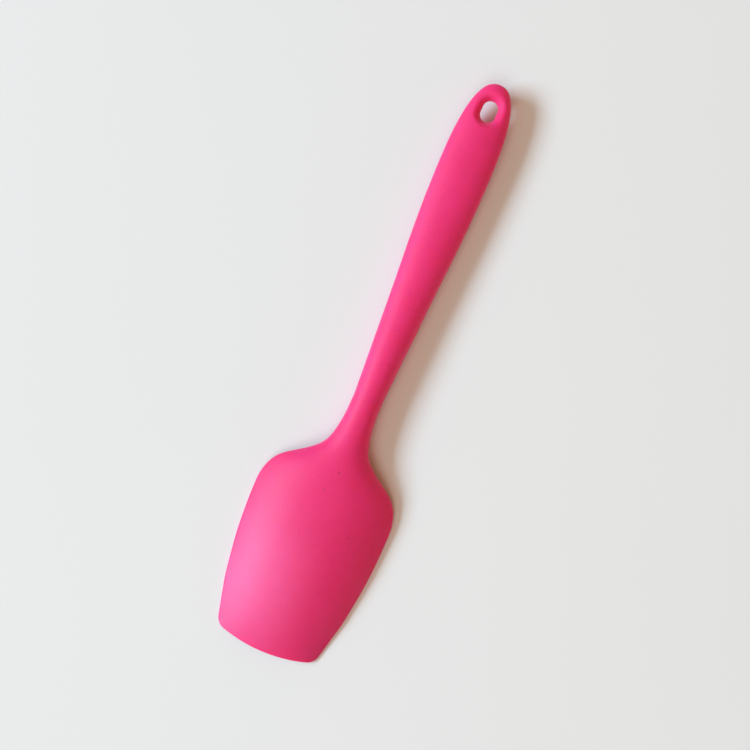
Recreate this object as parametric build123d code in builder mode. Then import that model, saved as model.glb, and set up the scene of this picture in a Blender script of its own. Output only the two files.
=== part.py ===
from build123d import *
from math import atan, cos, radians, sin, sqrt
import os

# A spoon spatula lying on its hollow side. The origin is on the table under its middle: the
# tip of the blade is at low X and the hanging ring at high X, Y runs across, and Z is up.
# All sizes are in millimetres.

# Driving dimensions of the whole tool
overall_length = 260.0
blade_length = 116.0  # from the tip to the narrowest place of the neck
blade_width = 61.7
neck_width = 12.8
handle_width = 23.0
handle_thickness = 12.5  # of the neck too
widest_from_end = 39.3  # the handle's widest place, from the ring's end
ring_lift = 3.5  # how far the underside has risen from the table at the ring's end
lift_from_end = 94.0  # where the underside begins to rise, from the ring's end

# The blade: its back, its hollow side and its edge
crown_height = 13.2  # the highest place of the back, above the table
tip_crown_height = 5.6  # the middle of the tip's edge, above the table
blade_thickness = 4.2  # in the middle of the blade, over the core
tip_thickness = 1.8
rim_thickness = 2.0  # of the sides' edges, in the middle of the blade
tip_rim_thickness = 0.8  # of the same edges at the tip
tip_arc_radius = 87.0
tip_width = 43.7  # between the sides' lines, drawn on to the end of the tip
tip_corner_radius = 5.5

# The hanging hole
hole_width = 6.6
hole_length = 9.4
hole_from_end = 12.0  # from the ring's end to the hole's middle
hole_mouth_radius = 2.4

# The stiff core, and the silicone over it
neck_skin = 2.2  # over the neck and the handle
blade_skin = 1.2  # over each side of the paddle
core_end_wall = 7.0  # silicone between the core and the hanging hole
core_end_radius = 1.0
paddle_width = 36.0
paddle_from_tip = 44.0
paddle_corner_radius = 9.0
paddle_side_share = 0.25  # how far the paddle's side bulges, of its thickness
paddle_hole_diameter = 5.0
paddle_hole_pitch = 11.0
paddle_hole_inset = 8.0  # from the paddle's end to its first holes
handle_hole_diameter = 4.0
handle_hole_count = 6

# How far a cutting shape runs past what it cuts, and the blade past its tip before trimming
overrun = 4.0
trim_clearance = 0.15  # between the tip's trimming outline and the blade's sides

# The blade's cross-sections, evenly spaced from one step beyond the tip to one step before the
# neck. Shares in each row: the width from the neck's to the blade's, the back's rise from the
# tip's height to the crown's, the rim's rise from the table to the neck's axis, the thickness
# from the tip's to the blade's, and how far the section has become the neck's.
blade_section_shares = [
    (0.575, -0.26, 0.00, -0.20, 0.000),
    (0.632, 0.00, 0.00, 0.00, 0.000),
    (0.685, 0.22, 0.00, 0.18, 0.000),
    (0.742, 0.39, 0.00, 0.34, 0.000),
    (0.799, 0.53, 0.00, 0.49, 0.000),
    (0.853, 0.65, 0.00, 0.62, 0.000),
    (0.890, 0.75, 0.00, 0.74, 0.000),
    (0.923, 0.83, 0.00, 0.84, 0.000),
    (0.953, 0.89, 0.01, 0.92, 0.000),
    (0.974, 0.94, 0.02, 0.98, 0.000),
    (0.988, 0.97, 0.03, 1.00, 0.000),
    (0.997, 0.99, 0.05, 1.00, 0.000),
    (1.000, 1.00, 0.07, 1.00, 0.010),
    (0.988, 1.00, 0.11, 1.00, 0.030),
    (0.918, 1.00, 0.19, 1.00, 0.100),
    (0.745, 1.00, 0.38, 1.00, 0.280),
    (0.420, 1.00, 0.67, 1.00, 0.600),
    (0.168, 1.00, 0.88, 1.00, 0.850),
    (0.070, 1.00, 0.97, 1.00, 0.965),
    (0.024, 1.00, 1.00, 1.00, 1.000),
    (0.006, 1.00, 1.00, 1.00, 1.000),
]
beyond_tip_row_count = 1  # the rows before the one that lies at the tip
coreless_row_count = 7  # the rows before the first that the core's paddle follows

# The handle's half widths from the neck to its widest place: the place along, and the width
# from the neck's to the handle's. Beyond it they follow a rounded end.
handle_width_shares = [
    (0.00, 0.000),
    (0.04, 0.030),
    (0.22, 0.240),
    (0.48, 0.540),
    (0.74, 0.865),
    (1.00, 1.000),
]
ring_station_shares = [0.20, 0.38, 0.54, 0.68, 0.80, 0.89, 0.95, 0.985, 0.997]
ring_width_power = 2.55  # of the rounded end's outline, where 2 is an ellipse
ring_thickness_power = 4.0
neck_rim_angle = 30.0  # degrees, half of the round neck's side that continues the rim

# Worked out from the sizes above
tip_x = -overall_length / 2
ring_x = overall_length / 2
neck_x = tip_x + blade_length
axis_height = handle_thickness / 2
neck_half_width = neck_width / 2
handle_half_width = handle_width / 2
core_neck_half_width = neck_half_width - neck_skin
core_neck_half_thickness = axis_height - neck_skin
widest_x = ring_x - widest_from_end
hole_x = ring_x - hole_from_end
lift_x = ring_x - lift_from_end
paddle_end_x = tip_x + paddle_from_tip
core_end_x = hole_x - hole_length / 2 - core_end_wall


def between(start, end, share):
    return start + (end - start) * share


class BladeSection:
    """One cross-section of the blade, as points (y, z) of its right half: where the back ends
    and the rim begins, the rim's outermost place, and where the hollow side begins."""

    def __init__(self, row, shares):
        width, rise, rim_rise, thickening, root = shares
        step = row - beyond_tip_row_count
        self.x = between(tip_x, neck_x, step / (len(blade_section_shares) - beyond_tip_row_count))
        half_width = between(neck_half_width, blade_width / 2, width)
        rim_radius = between(tip_rim_thickness, rim_thickness, thickening) / 2
        rim_height = between(rim_radius, axis_height, rim_rise)
        blade_crown = between(tip_crown_height, crown_height, rise)
        thickness = between(tip_thickness, blade_thickness, thickening)
        self.crown = between(blade_crown, handle_thickness, root)
        self.hollow = between(blade_crown - thickness, 0, root)
        self.root = root
        # In the blade the rim is half round and stands square to the back's slope
        slope = 2 * atan((blade_crown - rim_height) / half_width)
        level, fall = cos(slope), sin(slope)
        blade_back = (-rim_radius + rim_radius * fall, rim_radius * level)
        blade_side = (-rim_radius + rim_radius * level, -rim_radius * fall)
        blade_front = (-rim_radius - rim_radius * fall, -rim_radius * level)
        # In the neck the same places lie on the round bar
        reach, height = cos(radians(neck_rim_angle)), sin(radians(neck_rim_angle))
        neck_back = (-neck_half_width + neck_half_width * reach, axis_height * height)
        neck_front = (neck_back[0], -neck_back[1])
        self.back = self.blend(half_width, rim_height, blade_back, neck_back, root)
        self.side = self.blend(half_width, rim_height, blade_side, (0, 0), root)
        self.front = self.blend(half_width, rim_height, blade_front, neck_front, root)

    def blend(self, half_width, rim_height, blade_point, neck_point, root):
        y = half_width + between(blade_point[0], neck_point[0], root)
        return y, rim_height + between(blade_point[1], neck_point[1], root)


def arc_height(y, end, middle_height):
    """The height at y of the arc through end, its mirror image and (0, middle_height)."""
    rise = middle_height - end[1]
    radius = (end[0] ** 2 + rise**2) / (2 * abs(rise))
    drop = radius - sqrt(radius**2 - y**2)
    return middle_height - drop * (1 if rise > 0 else -1)


def round_span(start, middle, end):
    """A spline that starts and ends along the arc through three points."""
    arc = ThreePointArc(start, middle, end, mode=Mode.PRIVATE)
    Spline(start, middle, end, tangents=[arc % 0, arc % 1])


def section_sketch(x, back, side, front, crown, hollow):
    """A closed section of four round spans: the back, the hollow side and the two rims."""
    with BuildSketch(Plane.YZ.offset(x)) as section:
        with BuildLine():
            round_span((-back[0], back[1]), (0, crown), back)
            round_span(back, side, front)
            round_span(front, (0, hollow), (-front[0], front[1]))
            round_span((-front[0], front[1]), (-side[0], side[1]), (-back[0], back[1]))
        make_face()
    return section.sketch


def handle_middle(x):
    """The height of the handle's middle, which rises by half of what its underside does."""
    share = max(x - lift_x, 0) / lift_from_end
    return axis_height + ring_lift * share**2 / 2


def handle_half_sizes(x):
    """Half the width and half the thickness in the handle's rounded end."""
    share = (x - widest_x) / widest_from_end
    half_width = handle_half_width * (1 - share**ring_width_power) ** (1 / ring_width_power)
    full_half_thickness = handle_thickness - handle_middle(x)
    half_thickness = full_half_thickness * (1 - share**ring_thickness_power) ** (1 / ring_thickness_power)
    return half_width, half_thickness


def oval_sketch(x, half_width, half_thickness):
    """A section of the handle, an ellipse about the handle's middle."""
    with BuildSketch(Plane.YZ.offset(x)) as section:
        with Locations((0, handle_middle(x))):
            Ellipse(half_width, half_thickness)
    return section.sketch


def neck_face(half_width, half_thickness):
    """The same ellipse where the blade meets the handle, kept as four spans like the blade's."""
    back_angle, rim_angle = 180 - 2 * neck_rim_angle, 2 * neck_rim_angle
    spans = []
    start = neck_rim_angle
    for angle in (back_angle, rim_angle, back_angle, rim_angle):
        center = (0, axis_height)
        arc = EllipticalCenterArc(center, half_width, half_thickness, start, arc_size=angle)
        spans.append(Plane.YZ.offset(neck_x) * arc)
        start += angle
    return Face(Wire(spans))


def handle_ovals(skin, end_x):
    """The handle's sections, drawn in by a skin, up to a place along the tool."""
    ovals = []
    for place, widening in handle_width_shares:
        x = between(neck_x, widest_x, place)
        half_width = between(neck_half_width, handle_half_width, widening)
        ovals.append(oval_sketch(x, half_width - skin, handle_thickness - handle_middle(x) - skin))
    for place in ring_station_shares:
        x = between(widest_x, ring_x, place)
        if x < end_x:
            half_width, half_thickness = handle_half_sizes(x)
            ovals.append(oval_sketch(x, half_width - skin, half_thickness - skin))
    return ovals


def paddle_sketch(section):
    """The core's section under the skin of one of the blade's sections."""
    skin = between(blade_skin, neck_skin, section.root)
    bar_y = core_neck_half_width * cos(radians(neck_rim_angle))
    bar_rise = core_neck_half_thickness * sin(radians(neck_rim_angle))
    y = between(paddle_width / 2, bar_y, section.root)
    top = arc_height(y, section.back, section.crown) - skin
    bottom = arc_height(y, section.front, section.hollow) + skin
    top = between(top, axis_height + bar_rise, section.root)
    bottom = between(bottom, axis_height - bar_rise, section.root)
    bulge = between(paddle_side_share * (top - bottom), core_neck_half_width - bar_y, section.root)
    side = (y + bulge, (top + bottom) / 2)
    crown, hollow = section.crown - skin, section.hollow + skin
    return section_sketch(section.x, (y, top), side, (y, bottom), crown, hollow)


blade_sections = [BladeSection(row, shares) for row, shares in enumerate(blade_section_shares)]

# Nylon core: the bar in the handle, with its row of keying holes
end_half_width, end_half_thickness = handle_half_sizes(core_end_x)
end_oval = oval_sketch(core_end_x, end_half_width - neck_skin, end_half_thickness - neck_skin)
core_bar_sections = [*handle_ovals(neck_skin, core_end_x), end_oval]
with BuildPart() as core_bar:
    loft(core_bar_sections)
    fillet(core_bar.edges().group_by(Axis.X)[-1], core_end_radius)
    handle_hole_pitch = (core_end_x - neck_x) / (handle_hole_count + 1)
    with Locations(((neck_x + core_end_x) / 2, 0, axis_height)):
        with GridLocations(handle_hole_pitch, 0, handle_hole_count, 1):
            Cylinder(handle_hole_diameter / 2, handle_thickness, mode=Mode.SUBTRACT)

# Nylon core: the neck, spread into a thin paddle that follows the blade's arch
paddle_sections = [paddle_sketch(section) for section in blade_sections[coreless_row_count:]]
paddle_sections.append(neck_face(core_neck_half_width, core_neck_half_thickness))
with BuildPart() as core_paddle:
    loft(paddle_sections)
    with BuildSketch(Plane.XY.offset(-overrun)) as paddle_outline:
        with Locations((paddle_end_x, 0)):
            Rectangle(neck_x - paddle_end_x, paddle_width, align=(Align.MIN, Align.CENTER))
        fillet(paddle_outline.vertices().group_by(Axis.X)[0], paddle_corner_radius)
    extrude(amount=crown_height + 2 * overrun, mode=Mode.INTERSECT)
    with Locations((paddle_end_x + paddle_hole_inset + paddle_hole_pitch / 2, 0, axis_height)):
        with GridLocations(paddle_hole_pitch, paddle_hole_pitch, 2, 2):
            Cylinder(paddle_hole_diameter / 2, 2 * crown_height, mode=Mode.SUBTRACT)

with BuildPart() as nylon_core:
    add(core_bar.part)
    add(core_paddle.part)

# Silicone cover: the blade, trimmed to the tip's outline
cover_sections = [section_sketch(s.x, s.back, s.side, s.front, s.crown, s.hollow) for s in blade_sections]
cover_sections.append(neck_face(neck_half_width, axis_height))
with BuildPart() as blade_shape:
    loft(cover_sections)
    tip_half_width = tip_width / 2 + trim_clearance
    tip_drop = tip_arc_radius - sqrt(tip_arc_radius**2 - tip_half_width**2)
    side_end = blade_sections[beyond_tip_row_count + 2]
    side_half_width = side_end.side[0] + trim_clearance
    clear_half_width = blade_width / 2 + overrun
    with BuildSketch(Plane.XY.offset(-overrun)) as tip_outline:
        with BuildLine():
            corner = (tip_x + tip_drop, tip_half_width)
            ThreePointArc(corner, (tip_x, 0), (corner[0], -corner[1]))
            Polyline(
                (corner[0], -corner[1]),
                (side_end.x, -side_half_width),
                (side_end.x, -clear_half_width),
                (neck_x + overrun, -clear_half_width),
                (neck_x + overrun, clear_half_width),
                (side_end.x, clear_half_width),
                (side_end.x, side_half_width),
                corner,
            )
        make_face()
        fillet(tip_outline.vertices().group_by(Axis.X)[0], tip_corner_radius)
    extrude(amount=crown_height + 2 * overrun, mode=Mode.INTERSECT)

# Silicone cover: the handle, with its hanging hole
handle_sections = [*handle_ovals(0, ring_x), Vertex(ring_x, 0, handle_middle(ring_x))]
with BuildPart() as handle_shape:
    loft(handle_sections)
    with BuildSketch(Plane.XY.offset(-overrun)) as hole_outline:
        with Locations((hole_x, 0)):
            SlotOverall(hole_length, hole_width)
    extrude(amount=handle_thickness + 2 * overrun, mode=Mode.SUBTRACT)
    near_hole = handle_shape.edges().filter_by_position(Axis.X, hole_x - hole_length, hole_x + hole_length)
    mouths = near_hole.filter_by(lambda edge: abs(edge.center().Z - handle_middle(hole_x)) > axis_height / 2)
    fillet(mouths, hole_mouth_radius)

with BuildPart() as silicone_cover:
    add(blade_shape.part)
    add(handle_shape.part)
    add(nylon_core.part, mode=Mode.SUBTRACT)

nylon_core.part.label = "nylon_core"
silicone_cover.part.label = "silicone_cover"
os.makedirs("parts", exist_ok=True)
export_step(nylon_core.part, "parts/nylon_core.step")
export_step(silicone_cover.part, "parts/silicone_cover.step")
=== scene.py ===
from math import asin, atan, atan2, cos, pi, radians, sin, sqrt

import bmesh
import bpy
import numpy as np
from mathutils import Matrix, Vector


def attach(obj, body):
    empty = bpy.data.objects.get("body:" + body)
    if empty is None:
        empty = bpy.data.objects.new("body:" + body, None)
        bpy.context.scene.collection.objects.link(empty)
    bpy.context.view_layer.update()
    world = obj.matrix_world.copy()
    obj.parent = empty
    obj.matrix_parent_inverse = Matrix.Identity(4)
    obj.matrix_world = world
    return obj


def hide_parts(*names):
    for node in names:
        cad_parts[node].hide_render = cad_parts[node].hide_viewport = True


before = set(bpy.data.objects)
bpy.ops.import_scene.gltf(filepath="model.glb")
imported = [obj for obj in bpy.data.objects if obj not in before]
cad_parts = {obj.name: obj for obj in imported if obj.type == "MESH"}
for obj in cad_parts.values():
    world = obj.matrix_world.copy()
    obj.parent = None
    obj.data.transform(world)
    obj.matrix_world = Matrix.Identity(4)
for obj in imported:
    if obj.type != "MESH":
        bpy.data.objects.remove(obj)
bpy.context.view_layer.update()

# The silicone cover: the blade, neck, handle and hanging ring, moulded in one piece of pink
# silicone around the stiff core. Its surface is drawn here as rings of points round the tool,
# from the blade's tip to the end of the ring, in millimetres in the frame of the solids.
mm = 0.001
tip_x, neck_x, widest_x, ring_x = -130.0, -14.0, 90.7, 130.0
axis_height = 6.25
neck_half_width = 6.4
blade_half_width = 30.85
handle_half_width = 11.5
crown_height = 13.2
tip_crown_height = 5.6
blade_thickness = 4.2
tip_thickness = 1.8
tip_rim_radius, rim_radius = 0.4, 1.0
neck_rim_angle = radians(30)

# Each row is one place of the blade, from one step beyond the tip to the neck: the share that
# its width, its back's height, its rim's height, its thickness and its roundness have reached.
blade_rows = [
    (0.575, -0.26, 0.00, -0.20, 0.000),
    (0.632, 0.00, 0.00, 0.00, 0.000),
    (0.685, 0.22, 0.00, 0.18, 0.000),
    (0.742, 0.39, 0.00, 0.34, 0.000),
    (0.799, 0.53, 0.00, 0.49, 0.000),
    (0.853, 0.65, 0.00, 0.62, 0.000),
    (0.890, 0.75, 0.00, 0.74, 0.000),
    (0.923, 0.83, 0.00, 0.84, 0.000),
    (0.953, 0.89, 0.01, 0.92, 0.000),
    (0.974, 0.94, 0.02, 0.98, 0.000),
    (0.988, 0.97, 0.03, 1.00, 0.000),
    (0.997, 0.99, 0.05, 1.00, 0.000),
    (1.000, 1.00, 0.07, 1.00, 0.010),
    (0.988, 1.00, 0.11, 1.00, 0.030),
    (0.918, 1.00, 0.19, 1.00, 0.100),
    (0.745, 1.00, 0.38, 1.00, 0.280),
    (0.420, 1.00, 0.67, 1.00, 0.600),
    (0.168, 1.00, 0.88, 1.00, 0.850),
    (0.070, 1.00, 0.97, 1.00, 0.965),
    (0.024, 1.00, 1.00, 1.00, 1.000),
    (0.006, 1.00, 1.00, 1.00, 1.000),
    (0.000, 1.00, 1.00, 1.00, 1.000),
]
row_step = (neck_x - tip_x) / (len(blade_rows) - 2)


class Fair:
    """A fair curve through given places, like a batten bent round pegs."""

    def __init__(self, places, values, start_slope=None, end_slope=None):
        self.x, self.y = np.array(places, float), np.array(values, float)
        n, h = len(places), np.diff(self.x)
        fit, load = np.zeros((n, n)), np.zeros(n)
        for i in range(1, n - 1):
            fit[i, i - 1 : i + 2] = h[i - 1], 2 * (h[i - 1] + h[i]), h[i]
            load[i] = 6 * ((self.y[i + 1] - self.y[i]) / h[i] - (self.y[i] - self.y[i - 1]) / h[i - 1])
        fit[0, 0] = fit[-1, -1] = 1
        if start_slope is not None:
            fit[0, :2] = 2 * h[0], h[0]
            load[0] = 6 * ((self.y[1] - self.y[0]) / h[0] - start_slope)
        if end_slope is not None:
            fit[-1, -2:] = h[-1], 2 * h[-1]
            load[-1] = 6 * (end_slope - (self.y[-1] - self.y[-2]) / h[-1])
        self.bend = np.linalg.solve(fit, load)

    def __call__(self, x):
        i = min(max(int(np.searchsorted(self.x, x)) - 1, 0), len(self.x) - 2)
        h = self.x[i + 1] - self.x[i]
        a, b = (self.x[i + 1] - x) / h, (x - self.x[i]) / h
        bow = (a**3 - a) * self.bend[i] + (b**3 - b) * self.bend[i + 1]
        return a * self.y[i] + b * self.y[i + 1] + bow * h * h / 6


def between(start, end, share):
    return start + (end - start) * share


nudge = 0.01


def slope_at(curve, x):
    return (curve(x + nudge) - curve(x - nudge)) / (2 * nudge)


row_places = [tip_x + row_step * (row - 1) for row in range(len(blade_rows))]
width_at, rise_at, rim_at, thickening_at, root_at = (
    Fair(row_places, column, end_slope=0.0) for column in zip(*blade_rows)
)


def blade_edge(x):
    """Half the blade's width."""
    return between(neck_half_width, blade_half_width, width_at(x))


def blade_section(x):
    """Where the back ends, the side of the rim and where the hollow begins, each as (y, z), and
    the heights of the back's and the hollow's middles."""
    half_width, root = blade_edge(x), root_at(x)
    radius = between(tip_rim_radius, rim_radius, thickening_at(x))
    rim_height = between(radius, axis_height, rim_at(x))
    crown = between(tip_crown_height, crown_height, rise_at(x))
    thickness = between(tip_thickness, blade_thickness, thickening_at(x))
    slope = 2 * atan((crown - rim_height) / half_width)
    level, fall = radius * cos(slope), radius * sin(slope)
    blade_points = [(fall - radius, level), (level - radius, -fall), (-fall - radius, -level)]
    drawn_in, height = neck_half_width * (cos(neck_rim_angle) - 1), axis_height * sin(neck_rim_angle)
    neck_points = [(drawn_in, height), (0, 0), (drawn_in, -height)]
    points = [
        (half_width + between(a[0], b[0], root), rim_height + between(a[1], b[1], root))
        for a, b in zip(blade_points, neck_points)
    ]
    return *points, between(crown, 2 * axis_height, root), between(crown - thickness, 0, root)


nearly_flat, nearly_straight = 1e-6, 1e-9


def arc_height(y, end, middle):
    """The height at y of the arc through end, its mirror image and (0, middle)."""
    rise = middle - end[1]
    if abs(rise) < nearly_flat:
        return middle
    radius = (end[0] ** 2 + rise**2) / (2 * abs(rise))
    return middle - (radius - sqrt(max(radius**2 - y**2, 0))) * (1 if rise > 0 else -1)


def blade_faces(x, y):
    """The heights of the blade's back and of its hollow side over a place in plan."""
    back, _, front, crown, hollow = blade_section(x)
    return arc_height(y, back, crown), arc_height(y, front, hollow)


def arc_points(start, middle, end, count):
    """Points evenly spread along the arc through three points of a section, both ends included."""
    (ax, ay), (bx, by), (cx, cy) = start, middle, end
    d = 2 * (ax * (by - cy) + bx * (cy - ay) + cx * (ay - by))
    if abs(d) < nearly_straight:
        return [(between(ax, cx, i / count), between(ay, cy, i / count)) for i in range(count + 1)]
    sa, sb, sc = ax * ax + ay * ay, bx * bx + by * by, cx * cx + cy * cy
    ux = (sa * (by - cy) + sb * (cy - ay) + sc * (ay - by)) / d
    uy = (sa * (cx - bx) + sb * (ax - cx) + sc * (bx - ax)) / d
    radius = sqrt((ax - ux) ** 2 + (ay - uy) ** 2)
    first, half, last = (atan2(y - uy, x - ux) for x, y in (start, middle, end))
    turn = (last - first) % (2 * pi)
    if (half - first) % (2 * pi) > turn:
        turn -= 2 * pi
    angles = [first + turn * i / count for i in range(count + 1)]
    return [(ux + radius * cos(a), uy + radius * sin(a)) for a in angles]


# How finely the surface is drawn: facets across the back or the hollow, and round one rim
across, round_rim = 56, 12
shares_across = [2 * j / across - 1 for j in range(across + 1)]


def closed_ring(x, back, rim, hollow):
    """One ring of points: the back from low Y to high Y, the rim, the hollow side and the other rim."""
    mirrored_rim = [(-y, z) for y, z in reversed(rim)]
    loop = [*back[:-1], *rim[:-1], *hollow[:-1], *mirrored_rim[:-1]]
    return [(x, y, z) for y, z in loop]


def blade_ring(x):
    back, side, front, crown, hollow = blade_section(x)
    top = arc_points((-back[0], back[1]), (0, crown), back, across)
    under = arc_points(front, (0, hollow), (-front[0], front[1]), across)
    return closed_ring(x, top, arc_points(back, side, front, round_rim), under)


# The tip's outline in plan: a shallow arc across, with a rounded corner to each side
tip_arc_radius, corner_radius = 87.0, 5.5
arc_center_x = tip_x + tip_arc_radius


def corner_center(x):
    """The middle of a corner's arc that meets the side at x."""
    lean = atan(slope_at(blade_edge, x))
    return x + corner_radius * sin(lean), blade_edge(x) - corner_radius * cos(lean)


# The corner meets the side where its arc touches the tip's arc as well
nearest, farthest, close_enough = 1.0, 15.0, 1e-7
low, high = tip_x + nearest, tip_x + farthest
while high - low > close_enough:
    corner_end_x = (low + high) / 2
    cx, cy = corner_center(corner_end_x)
    if sqrt((cx - arc_center_x) ** 2 + cy**2) > tip_arc_radius - corner_radius:
        low = corner_end_x
    else:
        high = corner_end_x
corner_x, corner_y = corner_center(corner_end_x)
tip_half_angle = atan2(corner_y, arc_center_x - corner_x)
corner_end_angle = pi / 2 - atan(slope_at(blade_edge, corner_end_x))

# How often an edge's radius is fitted, and how far in and out its slope is measured
fitting_rounds, inset, outset = 4, 0.2, 0.1


def rim_profile(x, y, outward):
    """The half-round edge at a place of the outline, from the back to the hollow side."""
    nx, ny = outward
    radius = tip_rim_radius
    for _ in range(fitting_rounds):
        mx, my = x - nx * radius, y - ny * radius
        top, under = blade_faces(mx, my)
        inner = blade_faces(mx - nx * inset, my - ny * inset)
        outer = blade_faces(mx + nx * outset, my + ny * outset)
        slope = atan((sum(inner) - sum(outer)) / (2 * (inset + outset)))
        radius = (top - under) / 2 * cos(slope)
    height = (top + under) / 2
    points = []
    for k in range(round_rim + 1):
        angle = pi / 2 - pi * k / round_rim
        out = radius * (cos(angle) * cos(slope) + sin(angle) * sin(slope))
        up = radius * (sin(angle) * cos(slope) - cos(angle) * sin(slope))
        points.append((mx + nx * out, my + ny * out, height + up))
    return points


end_step_power = 8  # a row takes up the small step to the rim near its ends only


def bowed_row(edge, bow, face):
    """A row of points across one side of the blade, between an edge point and its mirror image,
    bowed towards the tip at its middle. Face is 0 for the back and 1 for the hollow side."""
    ex, ey, ez = edge
    step = ez - blade_faces(ex, ey)[face]
    row = []
    for share in shares_across:
        x, y = ex - bow * (1 - share**2), ey * share
        row.append((x, y, blade_faces(x, y)[face] + step * abs(share) ** end_step_power))
    return row


def bowed_ring(rim, bow):
    """A ring near the tip, whose ends follow the outline and whose middle bows towards the tip."""
    top = bowed_row(rim[0], bow, 0)
    under = bowed_row(rim[-1], bow, 1)[::-1]
    mirrored_rim = [(x, -y, z) for x, y, z in reversed(rim)]
    return [*top[:-1], *rim[:-1], *under[:-1], *mirrored_rim[:-1]]


def outward_at(angle):
    return -cos(angle), sin(angle)


# The tip's own edge, as half-round profiles from low Y to high Y
tip_edge = []
for share in shares_across:
    nx, ny = outward_at(tip_half_angle * share)
    tip_edge.append(rim_profile(arc_center_x + tip_arc_radius * nx, tip_arc_radius * ny, (nx, ny)))

rings = []
tip_top = [profile[0] for profile in tip_edge]
tip_under = [profile[-1] for profile in reversed(tip_edge)]
rings.append([*tip_top[:-1], *tip_edge[-1][:-1], *tip_under[:-1], *tip_edge[0][::-1][:-1]])

# The rounded corners, then a stretch in which the rings straighten
first_bow = tip_edge[-1][0][0] - tip_edge[across // 2][0][0]
corner_steps, straighten_length, turn_length, ring_step = 12, 26.0, 8.0, 0.9


def bow_at(x):
    """How far the middle of the ring of points at x bows towards the tip."""
    share = min(max((x - tip_edge[-1][0][0]) / straighten_length, 0), 1)
    return first_bow * (1 - share * share * (3 - 2 * share))


for k in range(1, corner_steps + 1):
    nx, ny = outward_at(between(tip_half_angle, corner_end_angle, k / corner_steps))
    profile = rim_profile(corner_x + corner_radius * nx, corner_y + corner_radius * ny, (nx, ny))
    rings.append(bowed_ring(profile, bow_at(profile[0][0])))
x = corner_end_x + ring_step
while x < neck_x - ring_step / 2:
    turned = min((x - corner_end_x) / turn_length, 1)
    if bow_at(x) > 0:
        angle = between(corner_end_angle, pi / 2, turned)
        profile = rim_profile(x, blade_edge(x), outward_at(angle))
        rings.append(bowed_ring(profile, bow_at(profile[0][0])))
    else:
        rings.append(blade_ring(x))
    x += ring_step

# The handle: ovals that widen from the neck, and then a rounded end whose underside rises
# from the table
widening_places = [0.00, 0.04, 0.22, 0.48, 0.74, 1.00]
widening_shares = [0.00, 0.03, 0.24, 0.54, 0.865, 1.00]
end_width_power, end_thickness_power = 2.55, 4.0
end_length = ring_x - widest_x
end_places = [0.20, 0.38, 0.54]
ring_lift, lift_length = 3.5, 94.0
lift_x = ring_x - lift_length


def handle_middle(x):
    """The height of the handle's middle, which rises by half of what its underside does."""
    share = max(x - lift_x, 0) / lift_length
    return axis_height + ring_lift * share**2 / 2


def end_half_sizes(x):
    share = min(max((x - widest_x) / end_length, 0), 1)
    half_width = handle_half_width * (1 - share**end_width_power) ** (1 / end_width_power)
    full = 2 * axis_height - handle_middle(x)
    half_thickness = full * (1 - share**end_thickness_power) ** (1 / end_thickness_power)
    return half_width, half_thickness


handle_places = [between(neck_x, widest_x, share) for share in widening_places]
handle_widths = [between(neck_half_width, handle_half_width, share) for share in widening_shares]
handle_places += [between(widest_x, ring_x, share) for share in end_places]
handle_widths += [end_half_sizes(x)[0] for x in handle_places[len(widening_places) :]]
join_x = handle_places[-1]
join_slope = slope_at(lambda x: end_half_sizes(x)[0], join_x)
handle_width_at = Fair(handle_places, handle_widths, start_slope=0.0, end_slope=join_slope)


def handle_half_sizes(x):
    half_width, half_thickness = end_half_sizes(x)
    return (handle_width_at(x) if x < join_x else half_width), half_thickness


def handle_ring(x):
    half_width, half_thickness = handle_half_sizes(x)
    back_turn, rim_turn = (pi - 2 * neck_rim_angle) / across, 2 * neck_rim_angle / round_rim
    angles, angle = [], pi - neck_rim_angle
    for count, turn in ((across, back_turn), (round_rim, rim_turn)) * 2:
        for _ in range(count):
            angles.append(angle)
            angle -= turn
    middle = handle_middle(x)
    return [(x, half_width * cos(a), middle + half_thickness * sin(a)) for a in angles]


handle_step = 1.2
ring_start_x = 108.5  # the handle's last ring of points, just short of the hole
handle_count = round((ring_start_x - neck_x) / handle_step)
for i in range(handle_count + 1):
    rings.append(handle_ring(between(neck_x, ring_start_x, i / handle_count)))

# The hanging hole: a slot with rounded mouths, moulded through the ring
hole_x, hole_half_width, hole_half_length = 118.0, 3.3, 4.7
mouth_reach, throat_share = 3.6, 0.1
mouth_roundness = 0.85  # 0 is a straight funnel and the square root of 2 a quarter round
straight_half = hole_half_length - hole_half_width


def handle_top(x, y):
    """How far the handle's back stands above its middle."""
    half_width, half_thickness = handle_half_sizes(x)
    return half_thickness * sqrt(max(1 - (y / half_width) ** 2, 0))


# Facets from the ring's outline in to the mouth, round the mouth, and down the wall
steps_out, steps_mouth, steps_wall = 16, 10, 4


def ring_profile(px, py):
    """Points from a place on the ring's back straight in over it to the hole's wall, and down to
    its middle height, as heights above the handle's middle."""
    cx = min(max(px, hole_x - straight_half), hole_x + straight_half)
    reach = sqrt((px - cx) ** 2 + py**2)
    nx, ny = (px - cx) / reach, py / reach

    def height(d):
        return handle_top(cx + nx * (hole_half_width + d), ny * (hole_half_width + d))

    lip = height(mouth_reach)
    crossing, throat = lip - slope_at(height, mouth_reach) * mouth_reach, lip * throat_share
    points = []
    for i in range(1, steps_out + 1):
        start = reach - hole_half_width
        d = start - (start - mouth_reach) * (1 - cos(pi / 2 * i / steps_out))
        points.append((d, height(d)))
    for i in range(1, steps_mouth + 1):
        t = i / steps_mouth
        shares = (1 - t) ** 2, mouth_roundness * t * (1 - t), t * t
        d = shares[0] * mouth_reach / sum(shares)
        points.append((d, (shares[0] * lip + shares[1] * crossing + shares[2] * throat) / sum(shares)))
    for i in range(1, steps_wall + 1):
        points.append((0, throat * (1 - i / steps_wall)))
    return [(cx + nx * (hole_half_width + d), ny * (hole_half_width + d), up) for d, up in points]


vertices = [point for ring in rings for point in ring]
around = len(rings[0])
faces = []


def vertex(ring, place):
    return ring * around + place % around


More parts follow.
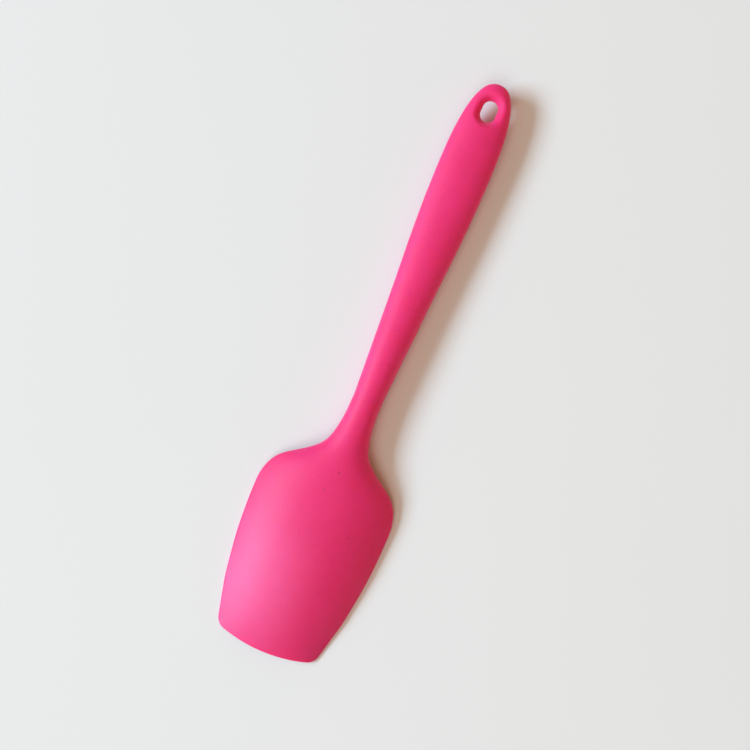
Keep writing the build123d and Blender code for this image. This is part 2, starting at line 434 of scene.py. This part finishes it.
for ring in range(len(rings) - 1):
    for place in range(around):
        near_side = vertex(ring, place), vertex(ring, place + 1)
        far_side = vertex(ring + 1, place + 1), vertex(ring + 1, place)
        faces.append(near_side + far_side)

# The ring: columns of points run in to the hole from the upper half of the handle's last ring
# of points and from the ring's outline, and mirrored ones run out again underneath
half_rim = round_rim // 2
last = len(rings) - 1
starts = []
for place in range(-half_rim, across + half_rim + 1):
    starts.append((vertex(last, place), vertex(last, 2 * across + round_rim - place)))
outline_steps = 68
end_angle = asin(((ring_start_x - widest_x) / end_length) ** (end_width_power / 2))
outline = []
for i in range(1, 2 * outline_steps):
    angle = between(end_angle, pi - end_angle, i / (2 * outline_steps))
    along = widest_x + end_length * sin(angle) ** (2 / end_width_power)
    aside = handle_half_width * abs(cos(angle)) ** (2 / end_width_power)
    outline.append((along, aside if angle < pi / 2 else -aside))
for along, aside in outline:
    vertices.append((along, aside, handle_middle(along)))
    starts.append((len(vertices) - 1, len(vertices) - 1))
columns = []
for start, below in starts:
    inward = ring_profile(vertices[start][0], vertices[start][1])
    column = [start]
    for along, aside, up in inward:
        column.append(len(vertices))
        vertices.append((along, aside, handle_middle(along) + up))
    for along, aside, up in reversed(inward[:-1]):
        column.append(len(vertices))
        vertices.append((along, aside, handle_middle(along) - up))
    column.append(below)
    columns.append(column)
for column, following in zip(columns, columns[1:] + columns[:1]):
    for k in range(len(column) - 1):
        corners = (column[k], following[k], following[k + 1], column[k + 1])
        faces.append(tuple(dict.fromkeys(corners)))

# The tip's edge closes the other end
edge_rows = []
for j in range(across + 1):
    if j == 0:
        row = [vertex(0, -k) for k in range(round_rim + 1)]
    elif j == across:
        row = [vertex(0, across + k) for k in range(round_rim + 1)]
    else:
        row = [vertex(0, j)]
        for point in tip_edge[j][1:-1]:
            row.append(len(vertices))
            vertices.append(point)
        row.append(vertex(0, 2 * across + round_rim - j))
    edge_rows.append(row)
for row, following in zip(edge_rows, edge_rows[1:]):
    for k in range(round_rim):
        faces.append((row[k], row[k + 1], following[k + 1], following[k]))

cover_mesh = bpy.data.meshes.new("silicone_cover_skin")
cover_mesh.from_pydata([Vector(v) * mm for v in vertices], [], faces)
cover_mesh.shade_smooth()
facing = bmesh.new()
facing.from_mesh(cover_mesh)
bmesh.ops.recalc_face_normals(facing, faces=facing.faces)
facing.to_mesh(cover_mesh)
facing.free()
cover = bpy.data.objects.new("silicone_cover_skin", cover_mesh)
bpy.context.scene.collection.objects.link(cover)
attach(cover, "root")
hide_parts("silicone_cover")


class Strand:
    """One value in a finish, so that sums are written as sums."""

    def __init__(self, finish, socket):
        self.finish, self.socket = finish, socket

    def sum_with(self, operation, first, second):
        return self.finish.node("ShaderNodeMath", {"operation": operation}, {0: first, 1: second})

    def __add__(self, other):
        return self.sum_with("ADD", self, other)

    def __mul__(self, other):
        return self.sum_with("MULTIPLY", self, other)

    __radd__, __rmul__ = __add__, __mul__


class Finish:
    """A material or the room's light, mixed from nodes one at a time."""

    def __init__(self, owner):
        self.owner = owner
        owner.use_nodes = True
        self.tree = owner.node_tree
        self.tree.nodes.clear()

    def node(self, kind, settings=None, sockets=None, output=0):
        made = self.tree.nodes.new(kind)
        for name, value in (settings or {}).items():
            setattr(made, name, value)
        for key, value in (sockets or {}).items():
            if isinstance(value, Strand):
                self.tree.links.new(value.socket, made.inputs[key])
            else:
                made.inputs[key].default_value = value
        return Strand(self, made.outputs[output]) if made.outputs else None


# A Mix node's sockets for colours have no names of their own, only these numbers
first_colour, second_colour, mixed_colour = 6, 7, 2


def colour_mix(finish, factor, first, second):
    """The first colour where the factor is 0, and the second where it is 1."""
    sockets = {"Factor": factor, first_colour: first, second_colour: second}
    return finish.node("ShaderNodeMix", {"data_type": "RGBA"}, sockets, output=mixed_colour)


# Silicone: dyed right through, a little see-through at thin edges, with a soft satin face from
# the mould, faint clouds in the dye, and a few specks of dust that cling to it
silicone = Finish(bpy.data.materials.new("pink_silicone"))
place = silicone.node("ShaderNodeTexCoord", output="Object")
cloud_texture = {"Scale": 42.0, "Detail": 3.0, "Roughness": 0.6}
clouds = silicone.node("ShaderNodeTexNoise", sockets={"Vector": place, **cloud_texture})
grain_texture = {"Scale": 1300.0, "Detail": 3.0, "Roughness": 0.65}
grain = silicone.node("ShaderNodeTexNoise", sockets={"Vector": place, **grain_texture})
bloom_texture = {"Scale": 190.0, "Detail": 2.0, "Roughness": 0.55}
bloom = silicone.node("ShaderNodeTexNoise", sockets={"Vector": place, **bloom_texture})
cloud_share, bloom_share, grain_share = 0.30, 0.2, 0.5
cloud_mask = clouds * cloud_share + bloom * bloom_share + grain * grain_share
pink, deep_pink = (0.915, 0.033, 0.262, 1.0), (0.700, 0.004, 0.106, 1.0)
dye = colour_mix(silicone, cloud_mask, deep_pink, pink)

# Painted sheen: a milky, paler pink painted into the colour on the blade's half towards the tip, on its
# side towards the windows, where their broad highlight falls
painted_sheen_place = silicone.node(
    "ShaderNodeMapping",
    sockets={"Vector": place, "Location": (2.27, -0.51, 0.0), "Scale": (22.0, 32.0, 8.0)},
)
painted_sheen_ball = silicone.node("ShaderNodeTexGradient", {"gradient_type": "SPHERICAL"}, {"Vector": painted_sheen_place})
painted_sheen = silicone.node(
    "ShaderNodeMapRange",
    {"interpolation_type": "SMOOTHSTEP"},
    {"Value": painted_sheen_ball, "From Min": 0.0, "From Max": 1.0, "To Min": 0.0, "To Max": 0.95},
)
least_painted_sheen, clouded_painted_sheen = 0.8, 0.4
painted_sheen_pink = (0.860, 0.085, 0.300, 1.0)
# The painted highlight is mixed over the dye, strongest at the patch's middle and clouded a little
dye_with_painted_sheen = colour_mix(silicone, painted_sheen * (least_painted_sheen + clouds * clouded_painted_sheen), dye, painted_sheen_pink)

# Dust in a few small specks
speck_radius, dust_cover, dust_red = 0.03, 0.7, (0.30, 0.008, 0.050, 1.0)
dust = silicone.node("ShaderNodeTexVoronoi", sockets={"Vector": place, "Scale": 90.0})
speck = silicone.node("ShaderNodeMath", {"operation": "LESS_THAN"}, {0: dust, 1: speck_radius})
dusty = colour_mix(silicone, speck * dust_cover, dye_with_painted_sheen, dust_red)

# The mould's face is smoother at the blade's tip than at the ring, and finely uneven
along = silicone.node("ShaderNodeSeparateXYZ", sockets={"Vector": place}, output="X")
mean_roughness, rougher_along, rougher_bloom, rougher_grain = 0.50, 0.50, 0.08, 0.06
roughness = mean_roughness + along * rougher_along + bloom * rougher_bloom + grain * rougher_grain
bloom_relief = 0.8
moulded_face = silicone.node(
    "ShaderNodeBump",
    sockets={"Strength": 0.22, "Distance": 0.0003, "Height": grain + bloom * bloom_relief},
)
skin = silicone.node(
    "ShaderNodeBsdfPrincipled",
    {"subsurface_method": "RANDOM_WALK"},
    {
        "Base Color": dusty,
        "Roughness": roughness,
        "Normal": moulded_face,
        "IOR": 1.41,
        "Specular IOR Level": 0.58,
        "Subsurface Weight": 1.0,
        "Subsurface Radius": (1.0, 0.06, 0.10),
        "Subsurface Scale": 0.004,
        "Sheen Weight": 0.14,
        "Sheen Roughness": 0.5,
    },
)
silicone.node("ShaderNodeOutputMaterial", sockets={"Surface": skin})
cover_mesh.materials.append(silicone.owner)

# The core: one moulding of black glass-filled nylon, shut inside the silicone. Short fibres
# near its face give it a dull, streaky look.
nylon = Finish(bpy.data.materials.new("glass_filled_nylon"))
core_place = nylon.node("ShaderNodeTexCoord", output="Object")
stretch = {"Scale": (0.25, 1.0, 1.0)}
along_core = nylon.node("ShaderNodeMapping", sockets={"Vector": core_place, **stretch})
fibre_texture = {"Scale": 1400.0, "Detail": 2.0, "Roughness": 0.6}
fibres = nylon.node("ShaderNodeTexNoise", sockets={"Vector": along_core, **fibre_texture})
black, fibre_grey = (0.016, 0.016, 0.018, 1.0), (0.050, 0.050, 0.054, 1.0)
core_colour = colour_mix(nylon, fibres, black, fibre_grey)
core_roughness, fibre_roughness = 0.42, 0.2
core_face = nylon.node(
    "ShaderNodeBump",
    sockets={"Strength": 0.3, "Distance": 0.0001, "Height": fibres},
)
core_skin = nylon.node(
    "ShaderNodeBsdfPrincipled",
    sockets={
        "Base Color": core_colour,
        "Roughness": core_roughness + fibres * fibre_roughness,
        "Normal": core_face,
    },
)
nylon.node("ShaderNodeOutputMaterial", sockets={"Surface": core_skin})
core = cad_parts["nylon_core"]
for slot in core.material_slots:
    slot.link = "OBJECT"
    slot.material = nylon.owner

# The studio: a matt pale table, lit by two broad soft windows and an even room. The table lies
# a hair below zero height, as low as the lowest points of the tool's rim.
table_reach, table_drop = 3.0, 0.00003
table_corners = [(x * table_reach, y * table_reach, 0) for x, y in ((-1, -1), (1, -1), (1, 1), (-1, 1))]
table_mesh = bpy.data.meshes.new("table_top")
table_mesh.from_pydata(table_corners, [], [(0, 1, 2, 3)])
table_top = bpy.data.objects.new("table_top", table_mesh)
bpy.context.scene.collection.objects.link(table_top)
table_top.location.z = -table_drop
paper = Finish(bpy.data.materials.new("pale_table"))
table_place = paper.node("ShaderNodeTexCoord", output="Object")
paper_texture = {"Scale": 6.0, "Detail": 2.0, "Roughness": 0.5}
shading = paper.node("ShaderNodeTexNoise", sockets={"Vector": table_place, **paper_texture})
pale, paler = (0.776, 0.772, 0.764, 1.0), (0.790, 0.785, 0.776, 1.0)
table_skin = paper.node(
    "ShaderNodeBsdfPrincipled",
    sockets={
        "Base Color": colour_mix(paper, shading, pale, paler),
        "Roughness": 0.9,
        "Specular IOR Level": 0.1,
    },
)
paper.node("ShaderNodeOutputMaterial", sockets={"Surface": table_skin})
table_mesh.materials.append(paper.owner)

# The room's own light is warm on the side away from the windows, and cooler towards them
room = Finish(bpy.data.worlds.new("room"))
towards_windows = (-0.5, 0.866, 0.0)
warm_walls, window_walls = (0.48, 0.16, 0.07, 1.0), (0.34, 0.36, 0.24, 1.0)
direction = room.node("ShaderNodeTexCoord", output="Generated")
facing_windows = room.node(
    "ShaderNodeVectorMath",
    {"operation": "DOT_PRODUCT"},
    {0: direction, 1: towards_windows},
    output="Value",
)
walls = colour_mix(room, facing_windows * 0.5 + 0.5, warm_walls, window_walls)

# The camera itself sees a plain pale backdrop
backdrop_grey = (0.80, 0.80, 0.80, 1.0)
camera_ray = room.node("ShaderNodeLightPath", output="Is Camera Ray")
backdrop = colour_mix(room, camera_ray, walls, backdrop_grey)
glow = room.node("ShaderNodeBackground", sockets={"Color": backdrop, "Strength": 1.0})
room.node("ShaderNodeOutputWorld", sockets={"Surface": glow})
bpy.context.scene.world = room.owner

# Two broad windows: the main one low beside the tool, and a faint, high one past its tip
window_distance = 5.0


def add_window(name, side, height_angle, size, power, colour):
    """A broad window, seen from the table towards one side and at an angle above it."""
    window = bpy.data.lights.new(name, "AREA")
    window.shape = "RECTANGLE"
    window.size, window.size_y = size
    window.energy = power
    window.color = colour
    lamp = bpy.data.objects.new(name, window)
    bpy.context.scene.collection.objects.link(lamp)
    towards_lamp = Vector(side) * cos(height_angle) + Vector((0, 0, sin(height_angle)))
    lamp.location = window_distance * towards_lamp
    lamp.rotation_euler = (-lamp.location).to_track_quat("-Z", "Y").to_euler()


add_window("window", (-0.276, 0.961, 0.0), radians(32), (3.0, 1.4), 343.0, (0.612, 0.835, 1.0))
add_window("tip_side_window", (-0.995, 0.100, 0.0), radians(58), (3.0, 3.0), 62.0, (0.94, 1.0, 0.98))

# The camera looks straight down, turned so that the handle points up and a little to the right
camera_x, camera_y, camera_height = -0.00313, 0.00127, 0.536
lean, sensor_width, lens_length = radians(22.84), 36.0, 60.0
camera_data = bpy.data.cameras.new("camera")
camera_data.sensor_width = sensor_width
camera_data.lens = lens_length
camera = bpy.data.objects.new("camera", camera_data)
bpy.context.scene.collection.objects.link(camera)
right, up = Vector((sin(lean), -cos(lean), 0)), Vector((cos(lean), sin(lean), 0))
camera.matrix_world = Matrix(
    (
        (right.x, up.x, 0, camera_x),
        (right.y, up.y, 0, camera_y),
        (0, 0, 1, camera_height),
        (0, 0, 0, 1),
    )
)
bpy.context.scene.camera = camera
bpy.context.scene.view_settings.view_transform = "Standard"
